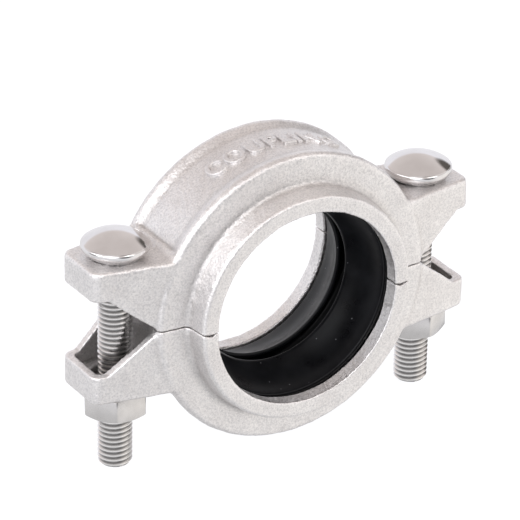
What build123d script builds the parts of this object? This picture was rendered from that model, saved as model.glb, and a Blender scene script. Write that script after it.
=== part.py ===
from build123d import *
import math
import os

# Rigid grooved coupling for DN50 pipe: two cast housings, a C-section gasket,
# two track bolts and two hex nuts.
# Millimetres. Origin at the centre of the bore, Y along the pipe, Z along the
# bolts, X from bolt to bolt. The housings part at the plane z = 0.

# Bore and keys, which sit in the grooves of two 60.3 mm pipes
key_bore_radius = 29.2
half_width = 21.2
key_inner_face = 16.5
recess_radius = 31.9

# Outside of the housing ring
rim_front_radius = 34.0
rim_root_radius = 34.8
rim_root_face = 13.9
shoulder_radius = 43.7
shoulder_face = 13.3
crest_inner = 10.9
channel_radius = 42.6
channel_half_width = 8.2

# Gasket cavity inside the housing ring
cavity_mouth_face = 14.0
cavity_radius = 38.9
cavity_step_radius = 36.0
cavity_step_face = 11.3
cavity_face = 10.4

# Bolt ears
bolt_spacing = 100.0
pad_top = 20.5
pad_thickness = 4.5
ear_wall = 2.5
ear_end = 62.0
ear_root = 38.6
ear_root_half_width = 13.3
ear_end_half_width = 8.9
ear_corner_radius = 3.0
ear_edge_radius = 1.2
rim_step = 11.6
rim_step_length = 4.5
vee_apex = 42.8
ear_blend_radius = 3.5
hole_length = 14.6
hole_width = 11.0
ear_start = 30.0
pocket_corner_radius = 2.0

# Parting faces and the locating tongue at each key end
parting_gap = 0.3
tongue_inner = 29.7
tongue_tip = 31.0
tongue_outer = 33.5
tongue_depth = 0.75
tongue_end_gap = 0.5
tongue_root = 1.0

# Gasket section, with the lips pressed back just clear of the key bore
gasket_radius = 38.4
gasket_half_width = 9.8
gasket_step_radius = 35.7
gasket_step_face = 10.8
lip_root_face = 13.6
lip_root_radius = 31.4
lip_edge_radius = 29.8
lip_tip_radius = 29.5
lip_tip_face = 2.8
lip_tip_thickness = 1.2
lip_tip_slant = 0.3
lip_back_radius = 31.9
lip_back_face = 10.4
groove_wall_radius = 33.4
groove_wall_face = 9.2
groove_floor_radius = 35.4
groove_floor_face = 6.4

# M10 track bolts, 65 mm from pad to tip
thread_radius = 4.94
thread_root_radius = 4.15
thread_pitch = 1.5
ring_half_mouth = 0.62
ring_half_root = 0.1
tip_radius = 4.1
bolt_tip = -45.0
neck_length = 5.0
neck_width = 10.2
neck_length_x = 13.8
head_seat_radius = 7.6
head_radius = 9.8
head_flare_top = 23.3
head_crease_radius = 9.4
head_crease = 24.5
head_top = 27.6
flare_foot_direction = (1, 0.4)
flare_top_direction = (0.15, 1)

# M10 nuts
nut_flats = 17.0
nut_height = 8.0
nut_bore_radius = 5.02
nut_bore_chamfer_radius = 5.5
nut_corner_drop = 1.0
nut_face_inset = 0.2
left_nut_angle = 2.0
right_nut_angle = 30.0

# How far the cutting shapes run past the faces that they cut
run_out = 1.0
ring_run_out = 0.1

bolt_x = bolt_spacing / 2
pad_under = pad_top - pad_thickness
taper = (ear_root_half_width - ear_end_half_width) / (ear_end - ear_root)


def mirrored(points):
    """A half section's (radius, y) points for y < 0, followed by their mirror for y > 0."""
    return points + [(radius, -y) for radius, y in reversed(points)]


def ear_outline(inset, start):
    """Plan of the right ear, moved in by inset on its sides and end, from x = start."""
    end = ear_end - inset
    root = ear_root_half_width - inset
    tip = root - taper * (end - ear_root)
    return [(start, -root), (ear_root, -root), (end, -tip), (end, tip), (ear_root, root), (start, root)]


# --- Housing ring: the solid outside form, before the bore and cavity are cut
ring_half = [
    (rim_front_radius, -half_width),
    (rim_root_radius, -rim_root_face),
    (shoulder_radius, -shoulder_face),
    (shoulder_radius, -crest_inner),
    (channel_radius, -channel_half_width),
]
ring_radii = [0.9, 1.5, 1.5, 1.2, 3.0]

with BuildPart() as ring_form:
    with BuildSketch(Plane.XY):
        with BuildLine():
            FilletPolyline(
                (0, -half_width), *mirrored(ring_half), (0, half_width),
                radius=ring_radii + ring_radii[::-1],
            )
            Line((0, half_width), (0, -half_width))
        make_face()
    revolve(axis=Axis.Y)

# --- Bore, pipe recesses and gasket cavity, as the solid that they remove
cavity_half = [
    (key_bore_radius, -key_inner_face),
    (recess_radius, -key_inner_face),
    (recess_radius, -cavity_mouth_face),
    (cavity_step_radius, -cavity_step_face),
    (cavity_radius, -cavity_face),
]
cavity_radii = [0.4, 0.6, 0.8, 0.8, 1.0]
bore_run_out = half_width + run_out

with BuildPart() as cavity_form:
    with BuildSketch(Plane.XY):
        with BuildLine():
            FilletPolyline(
                (0, -bore_run_out),
                (key_bore_radius, -bore_run_out),
                *mirrored(cavity_half),
                (key_bore_radius, bore_run_out),
                (0, bore_run_out),
                radius=[0] + cavity_radii + cavity_radii[::-1] + [0],
            )
            Line((0, bore_run_out), (0, -bore_run_out))
        make_face()
    revolve(axis=Axis.Y)

# --- One ear: a tray that opens towards the parting plane, with a sloping rim
with BuildPart() as ear:
    with BuildSketch(Plane.XY) as ear_plan:
        with BuildLine():
            Polyline(*ear_outline(0, ear_start), close=True)
        make_face()
        fillet(ear_plan.vertices().group_by(Axis.X)[-1], radius=ear_corner_radius)
    extrude(amount=pad_top)
    with BuildSketch(Plane.XZ):
        with BuildLine():
            Polyline(
                (ear_start, 0),
                (vee_apex, 0),
                (ear_end - rim_step_length, rim_step),
                (ear_end, rim_step),
                (ear_end, pad_top),
                (ear_start, pad_top),
                close=True,
            )
        make_face()
    extrude(amount=half_width, both=True, mode=Mode.INTERSECT)
    fillet(
        ear.edges().group_by(Axis.Z)[-1].filter_by_position(Axis.X, ear_root, ear_end + run_out),
        radius=ear_edge_radius,
    )
    with BuildSketch(Plane.XY) as pocket_plan:
        with BuildLine():
            Polyline(*ear_outline(ear_wall, ear_start), close=True)
        make_face()
        fillet(pocket_plan.vertices().group_by(Axis.X)[-1], radius=pocket_corner_radius)
    extrude(amount=pad_under, mode=Mode.SUBTRACT)

# --- Blend between the ring and the top of the ear pad
blend_distance = shoulder_radius + ear_blend_radius
blend_height = pad_top + ear_blend_radius
blend_x = math.sqrt(blend_distance**2 - blend_height**2)
blend_on_ring = (shoulder_radius * blend_x / blend_distance, shoulder_radius * blend_height / blend_distance)
blend_on_pad = (blend_x, pad_top)
blend_angle = math.degrees(math.atan2(blend_height, blend_x)) + 180

with BuildPart() as ear_blend:
    with BuildSketch(Plane.XZ):
        with BuildLine():
            CenterArc((blend_x, blend_height), ear_blend_radius, blend_angle, 270 - blend_angle)
            Polyline(
                blend_on_pad,
                (blend_x, pad_under),
                (ear_start, pad_under),
                blend_on_ring,
            )
        make_face()
    extrude(amount=shoulder_face - ear_edge_radius, both=True)

# --- Half housing: ring, ears and blends, cut hollow and trimmed to the parting face
with BuildPart() as half_housing:
    add(ear.part)
    add(ear_blend.part)
    mirror(about=Plane.YZ)
    add(ring_form.part)
    add(cavity_form.part, mode=Mode.SUBTRACT)
    with BuildSketch(Plane.XY.offset(pad_under - run_out)):
        with GridLocations(bolt_spacing, 1, 2, 1):
            SlotOverall(hole_length, hole_width)
    extrude(amount=pad_thickness + 2 * run_out, mode=Mode.SUBTRACT)
    split(bisect_by=Plane.XY.offset(parting_gap / 2), keep=Keep.TOP)


def tongue_section(drop):
    """Section of the locating tongue across the key, in X and Z, lowered by drop."""
    top = parting_gap / 2 - drop
    return [
        (tongue_inner, top + tongue_root),
        (tongue_inner, top),
        (tongue_tip, top - tongue_depth - parting_gap / 2),
        (tongue_outer, top),
        (tongue_outer, top + tongue_root),
    ]


with BuildPart() as upper_housing:
    add(half_housing.part)
    for near_y in (-half_width + tongue_end_gap, key_inner_face + tongue_end_gap):
        with BuildSketch(Plane.XZ.offset(-near_y)):
            with BuildLine():
                Polyline(*tongue_section(0), close=True)
            make_face()
            mirror(about=Plane.YZ)
        extrude(amount=-(half_width - key_inner_face - 2 * tongue_end_gap))
upper_housing.part.label = "upper_housing"

with BuildPart() as lower_housing:
    add(mirror(half_housing.part, about=Plane.XY))
    for near_y in (-half_width, key_inner_face):
        with BuildSketch(Plane.XZ.offset(-near_y)):
            with BuildLine():
                Polyline(*tongue_section(parting_gap), close=True)
            make_face()
            mirror(about=Plane.YZ)
        extrude(amount=-(half_width - key_inner_face), mode=Mode.SUBTRACT)
lower_housing.part.label = "lower_housing"

# --- Gasket: a C-section ring whose two lips lean in towards each other
gasket_half = [
    (lip_edge_radius, -lip_root_face),
    (lip_root_radius, -lip_root_face),
    (gasket_step_radius, -gasket_step_face),
    (gasket_radius, -gasket_half_width),
]
groove_half = [
    (lip_tip_radius, -lip_tip_face),
    (lip_tip_radius + lip_tip_thickness, -lip_tip_face + lip_tip_slant),
    (lip_back_radius, -lip_back_face),
    (groove_wall_radius, -groove_wall_face),
    (groove_floor_radius, -groove_floor_face),
]
gasket_radii = [0.9, 0.9, 1.0, 1.0]
groove_radii = [0.5, 0.5, 0.6, 1.2, 1.5]

with BuildPart() as gasket:
    with BuildSketch(Plane.XY):
        with BuildLine():
            FilletPolyline(
                *mirrored(gasket_half),
                *[(radius, -y) for radius, y in groove_half],
                *reversed(groove_half),
                radius=gasket_radii + gasket_radii[::-1] + groove_radii + groove_radii[::-1],
                close=True,
            )
        make_face()
    revolve(axis=Axis.Y)
gasket.part.label = "gasket"

# --- Track bolt: mushroom head, oval neck, and a shank with rings at the thread's pitch
thread_start = pad_top - neck_length
thread_end = bolt_tip + (thread_radius - tip_radius)
ring_count = int((thread_start - thread_end) / thread_pitch)
dome_height = head_top - head_crease
dome_radius = (head_crease_radius**2 + dome_height**2) / (2 * dome_height)
dome_angle = math.degrees(math.asin(head_crease_radius / dome_radius))

with BuildPart() as bolt:
    with BuildSketch(Plane.XZ):
        with BuildLine():
            Polyline(
                (0, head_top),
                (0, bolt_tip),
                (tip_radius, bolt_tip),
                (thread_radius, thread_end),
                (thread_radius, pad_top),
                (head_seat_radius, pad_top),
            )
            Spline(
                (head_seat_radius, pad_top),
                (head_radius, head_flare_top),
                tangents=[flare_foot_direction, flare_top_direction],
            )
            Line((head_radius, head_flare_top), (head_crease_radius, head_crease))
            CenterArc((0, head_top - dome_radius), dome_radius, 90 - dome_angle, dome_angle)
        make_face()
    revolve(axis=Axis.Z)
    with BuildSketch(Plane.XY.offset(thread_start)):
        SlotOverall(neck_length_x, neck_width)
    extrude(amount=neck_length)
    with BuildSketch(Plane.XZ):
        for index in range(ring_count):
            valley = thread_start - (index + 0.5) * thread_pitch
            with BuildLine():
                Polyline(
                    (thread_radius + ring_run_out, valley - ring_half_mouth),
                    (thread_radius + ring_run_out, valley + ring_half_mouth),
                    (thread_root_radius, valley + ring_half_root),
                    (thread_root_radius, valley - ring_half_root),
                    close=True,
                )
            make_face()
    revolve(axis=Axis.Z, mode=Mode.SUBTRACT)

# --- Hex nut, with its top face under the lower pad
corner = nut_flats / 2 / math.cos(math.pi / 6)
mouth = nut_bore_chamfer_radius - nut_bore_radius

with BuildPart() as nut:
    with BuildSketch(Plane.XY.offset(-pad_top - nut_height)):
        RegularPolygon(nut_flats / 2, 6, major_radius=False)
    extrude(amount=nut_height)
    with BuildSketch(Plane.XZ):
        with BuildLine():
            Polyline(
                (0, -pad_top),
                (nut_flats / 2 - nut_face_inset, -pad_top),
                (corner + ring_run_out, -pad_top - nut_corner_drop),
                (corner + ring_run_out, -pad_top - nut_height + nut_corner_drop),
                (nut_flats / 2 - nut_face_inset, -pad_top - nut_height),
                (0, -pad_top - nut_height),
                close=True,
            )
        make_face()
    revolve(axis=Axis.Z, mode=Mode.INTERSECT)
    with BuildSketch(Plane.XZ):
        with BuildLine():
            Polyline(
                (0, -pad_top),
                (nut_bore_chamfer_radius, -pad_top),
                (nut_bore_radius, -pad_top - mouth),
                (nut_bore_radius, -pad_top - nut_height + mouth),
                (nut_bore_chamfer_radius, -pad_top - nut_height),
                (0, -pad_top - nut_height),
                close=True,
            )
        make_face()
    revolve(axis=Axis.Z, mode=Mode.SUBTRACT)

# --- The fasteners on the two sides; each nut stops at its own angle
with BuildPart() as left_bolt:
    with Locations((-bolt_x, 0, 0)):
        add(bolt.part)
left_bolt.part.label = "left_bolt"

with BuildPart() as right_bolt:
    with Locations((bolt_x, 0, 0)):
        add(bolt.part)
right_bolt.part.label = "right_bolt"

with BuildPart() as left_nut:
    with Locations(Location((-bolt_x, 0, 0), (0, 0, left_nut_angle))):
        add(nut.part)
left_nut.part.label = "left_nut"

with BuildPart() as right_nut:
    with Locations(Location((bolt_x, 0, 0), (0, 0, right_nut_angle))):
        add(nut.part)
right_nut.part.label = "right_nut"

os.makedirs("parts", exist_ok=True)
export_step(upper_housing.part, "parts/upper_housing.step")
export_step(lower_housing.part, "parts/lower_housing.step")
export_step(gasket.part, "parts/gasket.step")
export_step(left_bolt.part, "parts/left_bolt.step")
export_step(right_bolt.part, "parts/right_bolt.step")
export_step(left_nut.part, "parts/left_nut.step")
export_step(right_nut.part, "parts/right_nut.step")
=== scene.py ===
import math

import bmesh
import bpy
import numpy as np
from mathutils import Matrix, Vector


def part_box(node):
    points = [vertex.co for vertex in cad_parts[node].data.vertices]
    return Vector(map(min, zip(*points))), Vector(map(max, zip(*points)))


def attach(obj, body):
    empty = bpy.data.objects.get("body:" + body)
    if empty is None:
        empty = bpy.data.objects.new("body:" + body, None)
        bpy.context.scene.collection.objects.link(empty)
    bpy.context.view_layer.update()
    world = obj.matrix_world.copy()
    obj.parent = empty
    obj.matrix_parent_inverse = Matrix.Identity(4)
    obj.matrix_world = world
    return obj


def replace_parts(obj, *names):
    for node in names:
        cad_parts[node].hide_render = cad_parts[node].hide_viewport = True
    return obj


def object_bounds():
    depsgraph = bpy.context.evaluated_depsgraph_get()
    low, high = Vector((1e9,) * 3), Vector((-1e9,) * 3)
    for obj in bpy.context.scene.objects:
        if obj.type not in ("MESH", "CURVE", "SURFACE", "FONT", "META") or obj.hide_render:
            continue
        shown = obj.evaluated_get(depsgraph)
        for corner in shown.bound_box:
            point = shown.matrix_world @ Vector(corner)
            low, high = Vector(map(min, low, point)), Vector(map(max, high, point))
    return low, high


# Looks of a rigid grooved coupling: cast stainless housings, polished track bolts,
# satin nuts and a black rubber gasket. Lengths are in metres unless a name ends in _mm.
MM = 0.001

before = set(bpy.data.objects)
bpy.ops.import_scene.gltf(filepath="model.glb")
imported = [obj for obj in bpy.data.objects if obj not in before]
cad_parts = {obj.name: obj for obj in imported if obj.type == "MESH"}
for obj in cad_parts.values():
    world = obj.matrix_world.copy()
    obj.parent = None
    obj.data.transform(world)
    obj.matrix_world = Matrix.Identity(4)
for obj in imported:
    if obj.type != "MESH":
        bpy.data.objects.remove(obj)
cad_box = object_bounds()

# ---------------------------------------------------------------- shared sizes

BOLT_X = (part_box("right_bolt")[0].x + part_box("right_bolt")[1].x) / 2
BOLT_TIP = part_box("left_bolt")[0].z
HEAD_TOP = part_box("left_bolt")[1].z
NUT_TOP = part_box("left_nut")[1].z
NUT_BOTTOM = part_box("left_nut")[0].z
PAD_TOP = -NUT_TOP
THREAD_RADIUS = 4.94 * MM
THREAD_PITCH = 1.5 * MM


# ---------------------------------------------------------------- mesh helpers

def new_object(name, mesh):
    """A mesh object in the scene."""
    piece = bpy.data.objects.new(name, mesh)
    bpy.context.scene.collection.objects.link(piece)
    return piece


def mesh_from(name, points, faces):
    """A mesh from points and faces, with doubled points merged."""
    mesh = bpy.data.meshes.new(name)
    mesh.from_pydata([tuple(p) for p in points], [], faces)
    work = bmesh.new()
    work.from_mesh(mesh)
    bmesh.ops.remove_doubles(work, verts=work.verts, dist=1e-7)
    bmesh.ops.dissolve_degenerate(work, edges=work.edges, dist=1e-8)
    bmesh.ops.recalc_face_normals(work, faces=work.faces)
    work.to_mesh(mesh)
    work.free()
    mesh.update()
    return mesh


def shade(piece, material, sharp_angle):
    """Smooth shading with edges kept sharp past an angle in degrees, and one material."""
    mesh = piece.data
    mesh.materials.clear()
    mesh.materials.append(material)
    mesh.polygons.foreach_set("use_smooth", [True] * len(mesh.polygons))
    mesh.set_sharp_from_angle(angle=math.radians(sharp_angle))


def evaluated_mesh(piece):
    """The piece's mesh with its modifiers applied."""
    graph = bpy.context.evaluated_depsgraph_get()
    return bpy.data.meshes.new_from_object(piece.evaluated_get(graph))


def point_array(mesh):
    """A mesh's points as an array of rows."""
    co = np.zeros(len(mesh.vertices) * 3)
    mesh.vertices.foreach_get("co", co)
    return co.reshape(-1, 3)


def edge_array(mesh):
    """A mesh's edges as rows of two point numbers."""
    edges = np.zeros(len(mesh.edges) * 2, np.int64)
    mesh.edges.foreach_get("vertices", edges)
    return edges.reshape(-1, 2)


def normal_array(mesh):
    """A mesh's point normals as an array of rows."""
    normals = np.zeros(len(mesh.vertices) * 3)
    mesh.vertices.foreach_get("normal", normals)
    return normals.reshape(-1, 3)


def set_points(mesh, co):
    """Moves a mesh's points to rows of an array."""
    mesh.vertices.foreach_set("co", co.ravel())
    mesh.update()


def neighbour_means(co, edges):
    """The mean of each point's neighbours along edges."""
    ends = edges.ravel()
    others = edges[:, ::-1].ravel()
    count = np.maximum(np.bincount(ends, minlength=len(co)), 1)
    totals = [np.bincount(ends, weights=column[others], minlength=len(co)) for column in co.T]
    return np.stack(totals, 1) / count[:, None]


def relaxed(co, edges, rounds, strength):
    """Points moved towards the mean of their neighbours a few times."""
    for _ in range(rounds):
        co = co + (neighbour_means(co, edges) - co) * 0.5 * strength
    return co


def voxel_skin(piece, voxel_mm):
    """The piece's mesh made again as one even skin."""
    skin = piece.modifiers.new("skin", "REMESH")
    skin.mode = "VOXEL"
    skin.voxel_size = voxel_mm
    fine = evaluated_mesh(piece)
    piece.modifiers.clear()
    return fine


def rounded(points, radii, steps=5):
    """A closed outline whose corners are rounded, each with its own radius."""
    outline = []
    count = len(points)
    for i, radius in enumerate(radii):
        here = Vector(points[i])
        before = (Vector(points[i - 1]) - here).normalized()
        after = (Vector(points[(i + 1) % count]) - here).normalized()
        half = math.acos(max(-1.0, min(1.0, before.dot(after)))) / 2
        if radius == 0 or half > math.radians(89):
            outline.append(tuple(here))
            continue
        reach = radius / math.tan(half)
        first = here + before * reach
        last = here + after * reach
        for k in range(steps + 1):
            t = k / steps
            blend = first * (1 - t) ** 2 + here * 2 * t * (1 - t) + last * t ** 2
            outline.append(tuple(blend))
    return outline


# ---------------------------------------------------------------- materials

def node_material(name):
    """An empty node material with its Principled shader and object coordinates."""
    material = bpy.data.materials.new(name)
    material.use_nodes = True
    tree = material.node_tree
    shader = tree.nodes["Principled BSDF"]
    coordinates = tree.nodes.new("ShaderNodeTexCoord")
    return material, tree, shader, coordinates.outputs["Object"]


def noise(tree, vector, scale, detail=2.0, roughness=0.5):
    """A noise texture's value output."""
    texture = tree.nodes.new("ShaderNodeTexNoise")
    texture.inputs["Scale"].default_value = scale
    texture.inputs["Detail"].default_value = detail
    texture.inputs["Roughness"].default_value = roughness
    tree.links.new(vector, texture.inputs["Vector"])
    return texture.outputs["Fac"]


def ramp(tree, value, stops):
    """A colour ramp over a value; stops are (position, colour)."""
    node = tree.nodes.new("ShaderNodeValToRGB")
    elements = node.color_ramp.elements
    while len(elements) < len(stops):
        elements.new(0.5)
    for element, (position, colour) in zip(elements, stops):
        element.position = position
        element.color = (*colour, 1)
    tree.links.new(value, node.inputs["Fac"])
    return node.outputs["Color"]


def spread(tree, value, low, high, from_low=0.3, from_high=0.7):
    """A value mapped from one range to another."""
    node = tree.nodes.new("ShaderNodeMapRange")
    node.inputs["From Min"].default_value = from_low
    node.inputs["From Max"].default_value = from_high
    node.inputs["To Min"].default_value = low
    node.inputs["To Max"].default_value = high
    tree.links.new(value, node.inputs["Value"])
    return node.outputs["Result"]


def bump(tree, shader, heights):
    """A chain of bump nodes; heights are (value, strength, distance in metres)."""
    normal = None
    for value, strength, distance in heights:
        node = tree.nodes.new("ShaderNodeBump")
        node.inputs["Strength"].default_value = strength
        node.inputs["Distance"].default_value = distance
        tree.links.new(value, node.inputs["Height"])
        if normal is not None:
            tree.links.new(normal, node.inputs["Normal"])
        normal = node.outputs["Normal"]
    tree.links.new(normal, shader.inputs["Normal"])


def multiplied(tree, first, second):
    """The product of two colours."""
    node = tree.nodes.new("ShaderNodeMix")
    node.data_type = "RGBA"
    node.blend_type = "MULTIPLY"
    node.inputs["Factor"].default_value = 1.0
    tree.links.new(first, node.inputs["A"])
    tree.links.new(second, node.inputs["B"])
    return node.outputs["Result"]


def cast_stainless():
    """Shot-blasted cast steel: fine grain, shallow mottling and an uneven sheen."""
    material, tree, shader, where = node_material("cast_stainless")
    shader.inputs["Metallic"].default_value = 1.0
    grain = noise(tree, where, 1750, 3.0, 0.7)
    blast = noise(tree, where, 1150, 2.0, 0.6)
    mottle = noise(tree, where, 120, 3.0, 0.55)
    clean = ramp(tree, grain, [(0.34, (0.66, 0.65, 0.65)), (0.60, (0.87, 0.85, 0.84))])
    dull = ramp(tree, mottle, [(0.32, (0.93, 0.925, 0.925)), (0.66, (1.0, 1.0, 1.0))])
    relief = tree.nodes.new("ShaderNodeAttribute")
    relief.attribute_name = RELIEF
    # Painted shade: the relief darkens the colour in creases and hollows, and makes it a little lighter
    # on standing edges
    crease_shade_and_edge_tone = ramp(tree, relief.outputs["Fac"], [
        (0.05, (0.42, 0.41, 0.40)),
        (0.42, (0.95, 0.945, 0.94)),
        (0.50, (1.0, 1.0, 1.0)),
        (1.00, (1.10, 1.10, 1.10)),
    ])
    colour = multiplied(tree, multiplied(tree, clean, dull), crease_shade_and_edge_tone)
    tree.links.new(colour, shader.inputs["Base Color"])
    tree.links.new(spread(tree, blast, 0.32, 0.46), shader.inputs["Roughness"])
    bump(tree, shader, [(blast, 1.0, 0.16 * MM), (grain, 1.0, 0.12 * MM)])
    return material


def polished_steel():
    """Bright polished steel with faint rubbing marks."""
    material, tree, shader, where = node_material("polished_steel")
    shader.inputs["Metallic"].default_value = 1.0
    cloud = noise(tree, where, 160, 2.0, 0.5)
    fine = noise(tree, where, 2600, 2.0, 0.5)
    colour = ramp(tree, cloud, [(0.3, (0.70, 0.685, 0.68)), (0.7, (0.76, 0.75, 0.75))])
    tree.links.new(colour, shader.inputs["Base Color"])
    tree.links.new(spread(tree, fine, 0.07, 0.14), shader.inputs["Roughness"])
    bump(tree, shader, [(fine, 0.12, 0.01 * MM)])
    return material


def rolled_thread_steel():
    """Rolled thread: painted shade darkens the colour towards the roots, and the crests are lighter."""
    material, tree, shader, where = node_material("rolled_thread_steel")
    shader.inputs["Metallic"].default_value = 1.0
    folded = tree.nodes.new("ShaderNodeVectorMath")
    folded.operation = "ABSOLUTE"
    tree.links.new(where, folded.inputs[0])
    centred = tree.nodes.new("ShaderNodeVectorMath")
    centred.operation = "SUBTRACT"
    centred.inputs[1].default_value = (BOLT_X, 0, 0)
    tree.links.new(folded.outputs["Vector"], centred.inputs[0])
    across = tree.nodes.new("ShaderNodeVectorMath")
    across.operation = "MULTIPLY"
    across.inputs[1].default_value = (1, 1, 0)
    tree.links.new(centred.outputs["Vector"], across.inputs[0])
    distance = tree.nodes.new("ShaderNodeVectorMath")
    distance.operation = "LENGTH"
    tree.links.new(across.outputs["Vector"], distance.inputs[0])
    height = spread(tree, distance.outputs["Value"], 0.0, 1.0, 4.2 * MM, 4.9 * MM)
    fine = noise(tree, where, 1900, 2.0, 0.5)
    # Painted shade: the colour goes dark in the thread's roots, where shade falls, and light on the
    # crests
    colour = ramp(tree, height, [(0.10, (0.34, 0.335, 0.33)), (0.80, (0.84, 0.825, 0.815))])
    tree.links.new(colour, shader.inputs["Base Color"])
    tree.links.new(spread(tree, fine, 0.14, 0.26), shader.inputs["Roughness"])
    bump(tree, shader, [(fine, 0.2, 0.012 * MM)])
    return material


def satin_nut_steel():
    """Satin nut: machined faces with a soft, slightly cloudy sheen."""
    material, tree, shader, where = node_material("satin_nut_steel")
    shader.inputs["Metallic"].default_value = 1.0
    fine = noise(tree, where, 1700, 3.0, 0.55)
    cloud = noise(tree, where, 200, 2.0, 0.5)
    colour = ramp(tree, cloud, [(0.3, (0.58, 0.565, 0.555)), (0.7, (0.68, 0.665, 0.655))])
    tree.links.new(colour, shader.inputs["Base Color"])
    tree.links.new(spread(tree, fine, 0.18, 0.28), shader.inputs["Roughness"])
    bump(tree, shader, [(fine, 0.15, 0.010 * MM)])
    return material


def gasket_rubber():
    """Moulded black rubber with a bluish sheen, cloudy wiping marks and specks of dust."""
    material, tree, shader, where = node_material("gasket_rubber")
    cloud = noise(tree, where, 150, 3.0, 0.6)
    fine = noise(tree, where, 1500, 2.0, 0.5)
    specks = tree.nodes.new("ShaderNodeTexVoronoi")
    specks.inputs["Scale"].default_value = 260
    tree.links.new(where, specks.inputs["Vector"])
    base = ramp(tree, cloud, [(0.3, (0.0035, 0.0037, 0.0045)), (0.7, (0.007, 0.0074, 0.009))])
    dust = ramp(tree, specks.outputs["Distance"], [(0.035, (1, 1, 1)), (0.06, (0, 0, 0))])
    mix = tree.nodes.new("ShaderNodeMix")
    mix.data_type = "RGBA"
    mix.inputs["B"].default_value = (0.16, 0.165, 0.175, 1)
    tree.links.new(dust, mix.inputs["Factor"])
    tree.links.new(base, mix.inputs["A"])
    tree.links.new(mix.outputs["Result"], shader.inputs["Base Color"])
    tree.links.new(spread(tree, cloud, 0.26, 0.42), shader.inputs["Roughness"])
    shader.inputs["Specular IOR Level"].default_value = 0.2
    bump(tree, shader, [(fine, 0.25, 0.01 * MM)])
    return material


# ---------------------------------------------------------------- housings

HOUSING_VOXEL_MM = 0.34
SOFTENING_ROUNDS = 3
GRAIN_MM = 0.014

# The parting faces stay crisp: smoothing starts this far from them, and is full after the rise
PARTING_CRISP_MM = 0.4
PARTING_RISE_MM = 1.2
PARTING_LEAST = 0.05

# Rings that are rounded further: radius, distance from the middle, reach, rounds
RING_BLENDS_MM = ((35.0, 14.0, 2.6, 30), (43.4, 12.6, 2.0, 14), (33.8, 21.0, 1.6, 5))

# Where the ears' pads meet the ring
EAR_ROOT_X_MM = 41.0
EAR_ROOT_Z_MM = 21.5
EAR_ROOT_REACH_MM = 6
EAR_ROOT_HALF_WIDTH_MM = 10
EAR_ROOT_ROUNDS = 20

# Waves over the casting: wavelengths with their heights, and how many of each
WAVES_MM = ((9.0, 0.030), (5.0, 0.022), (2.6, 0.014), (1.5, 0.010))
WAVES_EACH = 7

# Relief: how high an edge has to stand to count as 1, and how far round it is compared
RELIEF = "relief"
FLAT_RELIEF = 0.5
RELIEF_MM = 0.10
RELIEF_ROUNDS = 8

# The raised word; its weight, extrusion and spacing are in shares of the font's size
CHANNEL_RADIUS_MM = 42.6
MARK_TEXT = "COUPLING"
MARK_HEIGHT_MM = 6.8
MARK_HALF_ANGLE = math.radians(29)
MARK_RISE_MM = 0.95
MARK_SINK_MM = 0.6
MARK_WEIGHT = 0.042
MARK_EXTRUDE = 0.06
MARK_SPACING = 1.12
MARK_VOXEL_MM = 0.16
MARK_ROUNDS = 3


def size_mark():
    """Generic raised lettering, bent round the channel of the upper housing, in millimetres."""
    curve = bpy.data.curves.new("mark", "FONT")
    curve.body = MARK_TEXT
    curve.extrude = MARK_EXTRUDE
    curve.bevel_depth = MARK_WEIGHT
    curve.bevel_resolution = 2
    curve.space_character = MARK_SPACING
    curve.resolution_u = 6
    source = new_object("mark", curve)
    mesh = evaluated_mesh(source)
    bpy.data.objects.remove(source)
    co = point_array(mesh)
    low, high = co.min(0), co.max(0)
    share = (co - low) / (high - low)
    length = 2 * MARK_HALF_ANGLE * CHANNEL_RADIUS_MM
    depth = share[:, 2] * (MARK_SINK_MM + MARK_RISE_MM)
    flat = np.stack([(share[:, 0] - 0.5) * length, (share[:, 1] - 0.5) * MARK_HEIGHT_MM, depth], 1)
    set_points(mesh, flat)
    flat_mark = new_object("flat_mark", mesh)
    fine = voxel_skin(flat_mark, MARK_VOXEL_MM)
    bpy.data.objects.remove(flat_mark)
    co = relaxed(point_array(fine), edge_array(fine), MARK_ROUNDS, 1.0)
    angle = co[:, 0] / CHANNEL_RADIUS_MM
    radius = CHANNEL_RADIUS_MM - MARK_SINK_MM + co[:, 2]
    set_points(fine, np.stack([radius * np.sin(angle), co[:, 1], radius * np.cos(angle)], 1))
    return fine


def cast_unevenness(co, seed):
    """Low waves over a casting's skin, as a height in millimetres for each point."""
    rng = np.random.default_rng(seed)
    height = np.zeros(len(co))
    for wavelength, size in WAVES_MM:
        for _ in range(WAVES_EACH):
            direction = rng.normal(size=3)
            direction /= np.linalg.norm(direction)
            phase = rng.uniform(0, 2 * math.pi)
            height += size * 0.5 * np.sin(co @ direction * (2 * math.pi / wavelength) + phase)
    return height


def surface_relief(co, edges, normals):
    """How far each point stands out of its surroundings: 0 in a crease, 0.5 on flats, 1 on an edge."""
    around = relaxed(co, edges, RELIEF_ROUNDS, 1.0)
    rise = np.sum((co - around) * normals, 1)
    rise = relaxed(rise[:, None], edges, 2, 1.0)[:, 0]
    return np.clip(FLAT_RELIEF + rise / (2 * RELIEF_MM), 0, 1)


def nearness(distance, reach):
    """1 where the distance is 0, falling to 0 at the reach."""
    return np.clip(1 - np.abs(distance) / reach, 0, 1)


def softened(co, edges, away_from_parting):
    """A casting's points with its edges and roots rounded."""
    co = relaxed(co, edges, SOFTENING_ROUNDS, away_from_parting)
    for radius, face, reach, rounds in RING_BLENDS_MM:
        near = nearness(np.hypot(co[:, 0], co[:, 2]) - radius, reach)
        near *= nearness(np.abs(co[:, 1]) - face, reach)
        co = relaxed(co, edges, rounds, np.sqrt(near)[:, None] * away_from_parting)
    near = nearness(np.abs(co[:, 0]) - EAR_ROOT_X_MM, EAR_ROOT_REACH_MM)
    near *= nearness(np.abs(co[:, 2]) - EAR_ROOT_Z_MM, EAR_ROOT_REACH_MM)
    near *= np.clip(EAR_ROOT_HALF_WIDTH_MM - np.abs(co[:, 1]), 0, 1)
    return relaxed(co, edges, EAR_ROOT_ROUNDS, np.sqrt(near)[:, None])


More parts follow.
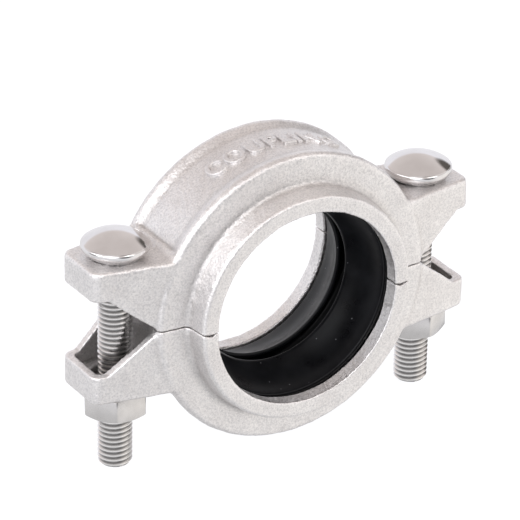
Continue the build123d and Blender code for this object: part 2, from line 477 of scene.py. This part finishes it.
def set_relief(mesh, values):
    """Stores the relief, from which the steel's colour gets painted shade in creases and a lighter tone
    on standing edges.
    """
    mesh.attributes.new(RELIEF, "FLOAT", "POINT").data.foreach_set("value", values)


def cast_housing(node, extra, seed):
    """A housing as cast: the CAD shape as one skin with softened edges, plus any lettering."""
    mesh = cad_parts[node].data.copy()
    mesh.transform(Matrix.Scale(1 / MM, 4))
    piece = new_object(node + "_cast", mesh)
    fine = voxel_skin(piece, HOUSING_VOXEL_MM)
    piece.data = fine
    co = point_array(fine)
    edges = edge_array(fine)
    rise = (np.abs(co[:, 2]) - PARTING_CRISP_MM) / PARTING_RISE_MM
    away_from_parting = np.clip(rise, PARTING_LEAST, 1)[:, None]
    co = softened(co, edges, away_from_parting)
    set_points(fine, co)
    normals = normal_array(fine)
    set_relief(fine, surface_relief(co, edges, normals))
    grain = np.random.default_rng(seed).normal(size=len(co)) * GRAIN_MM
    height = (cast_unevenness(co, seed) + grain) * away_from_parting[:, 0]
    lowest, highest = (np.array(corner) / MM for corner in cad_box)
    set_points(fine, np.clip(co + normals * height[:, None], lowest, highest))
    if extra is not None:
        set_relief(extra, [FLAT_RELIEF] * len(extra.vertices))
        work = bmesh.new()
        work.from_mesh(fine)
        work.from_mesh(extra)
        work.to_mesh(fine)
        work.free()
    fine.transform(Matrix.Scale(MM, 4))
    fine.update()
    return piece


# ---------------------------------------------------------------- gasket

GASKET_STEPS = 256
GASKET_SHIFT_MM = 0.45

# Half of the section as (radius, distance along the pipe, corner radius):
# the outside from the lip's edge to the rim, and the inside from the lip to the groove's floor
GASKET_OUTSIDE_MM = ((29.45, -15.3, 0.7), (31.2, -14.6, 0.9), (35.6, -10.7, 1.0), (38.3, -9.7, 1.0))
GASKET_LIP_MM = ((28.4, -8.6, 20.0), (24.9, -3.2, 0.8), (24.5, -2.2, 0.45), (25.6, -1.9, 0.45))
GASKET_GROOVE_MM = ((30.6, -9.6, 0.7), (33.2, -9.4, 1.2), (35.4, -6.4, 1.6))


def mirrored(corners):
    """The same corners on the other side of the middle."""
    return [(radius, -along, bend) for radius, along, bend in corners]


def gasket_section():
    """The gasket's closed outline as (radius, distance along the pipe) points, in millimetres."""
    outside = list(GASKET_OUTSIDE_MM)
    inside = list(GASKET_LIP_MM + GASKET_GROOVE_MM)
    corners = outside + mirrored(outside)[::-1] + mirrored(inside) + inside[::-1]
    return rounded([corner[:2] for corner in corners], [corner[2] for corner in corners])


def gasket_ring():
    """The gasket with its lips relaxed, leaning in past the key bore."""
    section = gasket_section()
    count = len(section)
    points = []
    for i in range(GASKET_STEPS):
        turn = 2 * math.pi * i / GASKET_STEPS
        for radius, along in section:
            y = (along + GASKET_SHIFT_MM) * MM
            points.append((radius * MM * math.cos(turn), y, radius * MM * math.sin(turn)))
    faces = []
    for i in range(GASKET_STEPS):
        after = (i + 1) % GASKET_STEPS
        for k in range(count):
            m = (k + 1) % count
            faces.append((i * count + k, i * count + m, after * count + m, after * count + k))
    return new_object("gasket_ring", mesh_from("gasket_ring", points, faces))


# ---------------------------------------------------------------- bolts and nuts

BOLT_STEPS = 72
ROWS_PER_PITCH = 12
THREAD_DEPTH = 0.86 * MM

# Shares of the pitch, from a crest's middle: where its flat ends and where the root begins.
# The thread fades out below the neck over a little more than a pitch.
THREAD_CREST = 0.086
THREAD_ROOT = 0.366
THREAD_FADE = 1.2 * THREAD_PITCH

TIP_RADIUS = 4.1 * MM
TIP_SLOPE = 0.9
NECK_DEPTH = 5.0 * MM
NECK_LENGTH = 13.8 * MM
NECK_WIDTH = 10.2 * MM
NECK_EDGE = 0.3 * MM
NECK_END_SHARE = 0.96

# The head: a spherical cap down to a crease, then the rolled rim and the flare to the pad,
# as (radius, height above the pad)
DOME_RINGS = 18
CREASE_RADIUS_MM = 9.35
CREASE_HEIGHT_MM = 4.0
APEX_HEIGHT_MM = 7.1
RIM_MM = ((9.38, 3.90), (9.52, 3.78), (9.68, 3.58), (9.78, 3.25), (9.8, 2.85), (9.72, 2.45))
FLARE_MM = ((9.5, 2.05), (9.1, 1.55), (8.6, 1.0), (8.0, 0.45), (7.6, 0.12), (7.45, 0.0))


def thread_profile(phase):
    """Depth below the crest, from 0 to 1, at a phase from 0 to 1 along the pitch."""
    from_crest = 0.5 - abs(phase % 1.0 - 0.5)
    return min(1.0, max(0.0, (from_crest - THREAD_CREST) / (THREAD_ROOT - THREAD_CREST)))


def thread_radius(turn, z, top):
    """Radius of the threaded shank at an angle and height."""
    phase = z / THREAD_PITCH - turn / (2 * math.pi)
    fade = min(1.0, max(0.0, (top - z) / THREAD_FADE))
    radius = THREAD_RADIUS - THREAD_DEPTH * thread_profile(phase) * fade
    return min(radius, TIP_RADIUS + (z - BOLT_TIP) * TIP_SLOPE)


def shank(top):
    """A helical thread from the tip to the top: points in rows along the helix, and faces."""
    points, faces = [], []
    lowest = BOLT_TIP / THREAD_PITCH - 1.5
    rows = int((top - BOLT_TIP) / THREAD_PITCH + 3) * ROWS_PER_PITCH
    for row in range(rows + 1):
        for k in range(BOLT_STEPS + 1):
            turn = 2 * math.pi * k / BOLT_STEPS
            z = (lowest + row / ROWS_PER_PITCH + k / BOLT_STEPS) * THREAD_PITCH
            z = min(top, max(BOLT_TIP, z))
            radius = thread_radius(turn, z, top)
            points.append((radius * math.cos(turn), radius * math.sin(turn), z))
    width = BOLT_STEPS + 1
    for row in range(rows):
        for k in range(BOLT_STEPS):
            a = row * width + k
            faces.append((a, a + 1, a + 1 + width, a + width))
    return points, faces


def stadium(turn, length, width):
    """Distance from the centre to the edge of an oval with straight sides."""
    c, s = abs(math.cos(turn)), abs(math.sin(turn))
    flat = (length - width) / 2
    end = width / 2
    if s > 1e-9 and end * c / s <= flat:
        return end / s
    root = flat * flat * c * c - (flat * flat - end * end)
    return flat * c + math.sqrt(max(0.0, root))


def head_rings():
    """(radius, height above the pad) rings of the mushroom head, from its apex down."""
    rise = APEX_HEIGHT_MM - CREASE_HEIGHT_MM
    dome = (CREASE_RADIUS_MM ** 2 + rise ** 2) / (2 * rise)
    edge_tilt = math.asin(CREASE_RADIUS_MM / dome)
    rings = []
    for k in range(1, DOME_RINGS + 1):
        tilt = edge_tilt * k / DOME_RINGS
        rings.append((dome * math.sin(tilt), APEX_HEIGHT_MM - dome * (1 - math.cos(tilt))))
    return rings + list(RIM_MM + FLARE_MM)


def circle(radii, z):
    """A ring of points at a height, with a radius for each step round it."""
    turns = [2 * math.pi * k / len(radii) for k in range(len(radii))]
    return [(radius * math.cos(turn), radius * math.sin(turn), z) for radius, turn in zip(radii, turns)]


def track_bolt(name, x):
    """A track bolt: polished mushroom head, oval neck and helical M10 thread."""
    steps = BOLT_STEPS
    neck_bottom = PAD_TOP - NECK_DEPTH
    rings = head_rings()
    points, faces = [(0, 0, HEAD_TOP)], []
    for radius, height in rings:
        points += circle([radius * MM] * steps, PAD_TOP + height * MM)
    turns = [2 * math.pi * k / steps for k in range(steps)]
    neck = [stadium(turn, NECK_LENGTH, NECK_WIDTH) for turn in turns]
    points += circle(neck, PAD_TOP)
    points += circle(neck, neck_bottom + NECK_EDGE)
    points += circle([radius * NECK_END_SHARE for radius in neck], neck_bottom)
    points += circle([THREAD_RADIUS] * steps, neck_bottom)
    levels = len(rings) + 4
    for k in range(steps):
        faces.append((0, 1 + k, 1 + (k + 1) % steps))
    for level in range(levels - 1):
        for k in range(steps):
            a = 1 + level * steps + k
            b = 1 + level * steps + (k + 1) % steps
            faces.append((a, a + steps, b + steps, b))
    base = len(points)
    more, more_faces = shank(neck_bottom)
    points += more
    faces += [tuple(base + i for i in face) for face in more_faces]
    centre = len(points)
    points.append((0, 0, BOLT_TIP))
    for k in range(steps):
        faces.append((centre, base + k, base + k + 1))
    mesh = mesh_from(name, points, faces)
    mesh.transform(Matrix.Translation((x, 0, 0)))
    return new_object(name, mesh)


def hex_reach(turn, flats):
    """Distance from the centre to the edge of a hexagon whose corners start at angle 0."""
    local = (turn + math.pi / 6) % (math.pi / 3) - math.pi / 6
    edge = flats / 2 / math.cos(math.pi / 6 - abs(local))
    return min(edge, flats / math.sqrt(3) - 0.13 * MM)


NUT_FLATS = 17.0 * MM
NUT_BORE = 5.02 * MM
NUT_MOUTH = 5.5 * MM
NUT_FACE_RADIUS = 8.2 * MM
NUT_CHAMFER_SLOPE = math.tan(math.radians(30))
NUT_EDGE = 0.07 * MM
NUT_STEPS = 180
NUT_ANGLES = {"left": 2.0, "right": 30.0}


def hex_nut(name, x, corner_angle):
    """A hex nut with turned chamfers on both faces."""
    steps = NUT_STEPS
    edge = NUT_EDGE
    slope = NUT_CHAMFER_SLOPE
    points = []
    for k in range(steps):
        turn = 2 * math.pi * k / steps
        reach = hex_reach(turn, NUT_FLATS)
        drop = (reach - NUT_FACE_RADIUS) * slope
        half = [
            (NUT_BORE, NUT_MOUTH - NUT_BORE),
            (NUT_MOUTH - edge / 2, edge / 2),
            (NUT_MOUTH + edge / 2, 0),
            (NUT_FACE_RADIUS - edge, 0),
            (NUT_FACE_RADIUS + edge, edge * slope),
            (reach - edge, drop - edge * slope),
            (reach, drop + edge),
        ]
        a = turn + math.radians(corner_angle)
        points += [(r * math.cos(a), r * math.sin(a), NUT_TOP - d) for r, d in half]
        points += [(r * math.cos(a), r * math.sin(a), NUT_BOTTOM + d) for r, d in reversed(half)]
    rows = 2 * len(half)
    faces = []
    for k in range(steps):
        after = (k + 1) % steps
        for m in range(rows):
            n = (m + 1) % rows
            faces.append((k * rows + m, after * rows + m, after * rows + n, k * rows + n))
    mesh = mesh_from(name, points, faces)
    mesh.transform(Matrix.Translation((x, 0, 0)))
    return new_object(name, mesh)


# ---------------------------------------------------------------- studio

LENS_MM = 268.4
SENSOR_MM = 36
CAMERA_PLACE = (-0.522625, -0.823813, 0.505447)
CAMERA_BACK = (-0.475, -0.753, 0.456)
CAMERA_RIGHT = (0.851, -0.525, 0.019)
FLOOR_HALF = 6
FLOOR_CLEARANCE = 0.2 * MM
FLOOR_GLOW = 0.93

# The tent's colour by height, from 0 straight down to 1 straight up
SKY_STOPS = (
    (0.02, (0.66, 0.66, 0.67)),
    (0.30, (0.90, 0.90, 0.92)),
    (0.70, (0.99, 0.985, 1.04)),
    (0.745, (0.80, 0.735, 0.715)),
    (0.95, (0.70, 0.64, 0.62)),
)

# Cards in the tent: direction, the cosines at which each is full and ends, and its colour
LIGHT_CARDS = (
    ((0.85, -0.50, -0.25), 0.95, 0.60, (1.08, 1.05, 1.02)),
    ((-0.86, 0.05, 0.50), 0.96, 0.90, (2.6, 2.6, 2.65)),
    ((-0.60, -0.52, 0.58), 0.94, 0.88, (2.5, 2.5, 2.55)),
    ((0.30, -0.66, 0.68), 0.985, 0.95, (2.4, 2.35, 2.3)),
    ((0.05, -0.98, 0.16), 0.975, 0.90, (0.16, 0.16, 0.165)),
    ((0.90, 0.30, 0.42), 0.985, 0.955, (0.12, 0.11, 0.10)),
    ((-0.97, 0.22, 0.12), 0.985, 0.94, (0.30, 0.30, 0.31)),
)
SKY_STRENGTH = 1.05


def set_camera():
    """The camera, in front of the coupling, to its left and above it."""
    back = Vector(CAMERA_BACK).normalized()
    right = Vector(CAMERA_RIGHT).normalized()
    up = back.cross(right).normalized()
    right = up.cross(back).normalized()
    camera = bpy.data.objects.new("camera", bpy.data.cameras.new("camera"))
    camera.data.lens = LENS_MM
    camera.data.sensor_width = SENSOR_MM
    camera.data.clip_start = 0.05
    camera.data.clip_end = 20
    turned = Matrix((right, up, back)).transposed()
    camera.matrix_world = Matrix.Translation(CAMERA_PLACE) @ turned.to_4x4()
    bpy.context.scene.collection.objects.link(camera)
    bpy.context.scene.camera = camera


def lay_floor():
    """A white sheet just under the bolts, bright in itself so that it has no grey edge."""
    reach = FLOOR_HALF
    corners = [(-reach, -reach, 0), (reach, -reach, 0), (reach, reach, 0), (-reach, reach, 0)]
    floor = new_object("floor", mesh_from("floor", corners, [(0, 1, 2, 3)]))
    floor.location.z = cad_box[0].z - FLOOR_CLEARANCE
    paper = bpy.data.materials.new("white_paper")
    paper.use_nodes = True
    shader = paper.node_tree.nodes["Principled BSDF"]
    shader.inputs["Base Color"].default_value = (0.15, 0.15, 0.15, 1)
    shader.inputs["Roughness"].default_value = 1.0
    shader.inputs["Specular IOR Level"].default_value = 0.0
    shader.inputs["Emission Color"].default_value = (1, 1, 1.02, 1)
    shader.inputs["Emission Strength"].default_value = FLOOR_GLOW
    floor.data.materials.append(paper)
    floor.visible_glossy = False


def surround():
    """A pale light tent: lavender low down, warm grey overhead, bright cards and dark gaps."""
    scene = bpy.context.scene
    world = bpy.data.worlds.new("surround")
    world.use_nodes = True
    scene.world = world
    tree = world.node_tree
    direction = tree.nodes.new("ShaderNodeTexCoord").outputs["Generated"]
    parts = tree.nodes.new("ShaderNodeSeparateXYZ")
    tree.links.new(direction, parts.inputs["Vector"])
    height = spread(tree, parts.outputs["Z"], 0.0, 1.0, -1.0, 1.0)
    sky = ramp(tree, height, SKY_STOPS)
    for centre, inner, outer, colour in LIGHT_CARDS:
        aim = tree.nodes.new("ShaderNodeVectorMath")
        aim.operation = "DOT_PRODUCT"
        aim.inputs[1].default_value = Vector(centre).normalized()
        tree.links.new(direction, aim.inputs[0])
        share = spread(tree, aim.outputs["Value"], 0.0, 1.0, outer, inner)
        mix = tree.nodes.new("ShaderNodeMix")
        mix.data_type = "RGBA"
        mix.inputs["B"].default_value = (*colour, 1)
        tree.links.new(share, mix.inputs["Factor"])
        tree.links.new(sky, mix.inputs["A"])
        sky = mix.outputs["Result"]
    tree.links.new(sky, tree.nodes["Background"].inputs["Color"])
    tree.nodes["Background"].inputs["Strength"].default_value = SKY_STRENGTH


# ---------------------------------------------------------------- assembly

bpy.context.scene.view_settings.view_transform = "Standard"
set_camera()
lay_floor()
surround()
steel = cast_stainless()
polish = polished_steel()
threads = rolled_thread_steel()
satin = satin_nut_steel()
rubber = gasket_rubber()

for node, extra, seed, body in (
    ("upper_housing", size_mark(), 11, "upper_half"),
    ("lower_housing", None, 23, "lower_half"),
):
    housing = cast_housing(node, extra, seed)
    shade(housing, steel, 180)
    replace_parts(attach(housing, body), node)

seal = gasket_ring()
shade(seal, rubber, 60)
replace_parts(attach(seal, "seal"), "gasket")

for side, x in (("left", -BOLT_X), ("right", BOLT_X)):
    bolt = track_bolt(side + "_track_bolt", x)
    shade(bolt, polish, 32)
    bolt.data.materials.append(threads)
    for face in bolt.data.polygons:
        if face.center.z < PAD_TOP - 1 * MM:
            face.material_index = 1
    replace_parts(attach(bolt, "upper_half"), side + "_bolt")
    nut = hex_nut(side + "_hex_nut", x, NUT_ANGLES[side])
    shade(nut, satin, 40)
    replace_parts(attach(nut, side + "_nut"), side + "_nut")
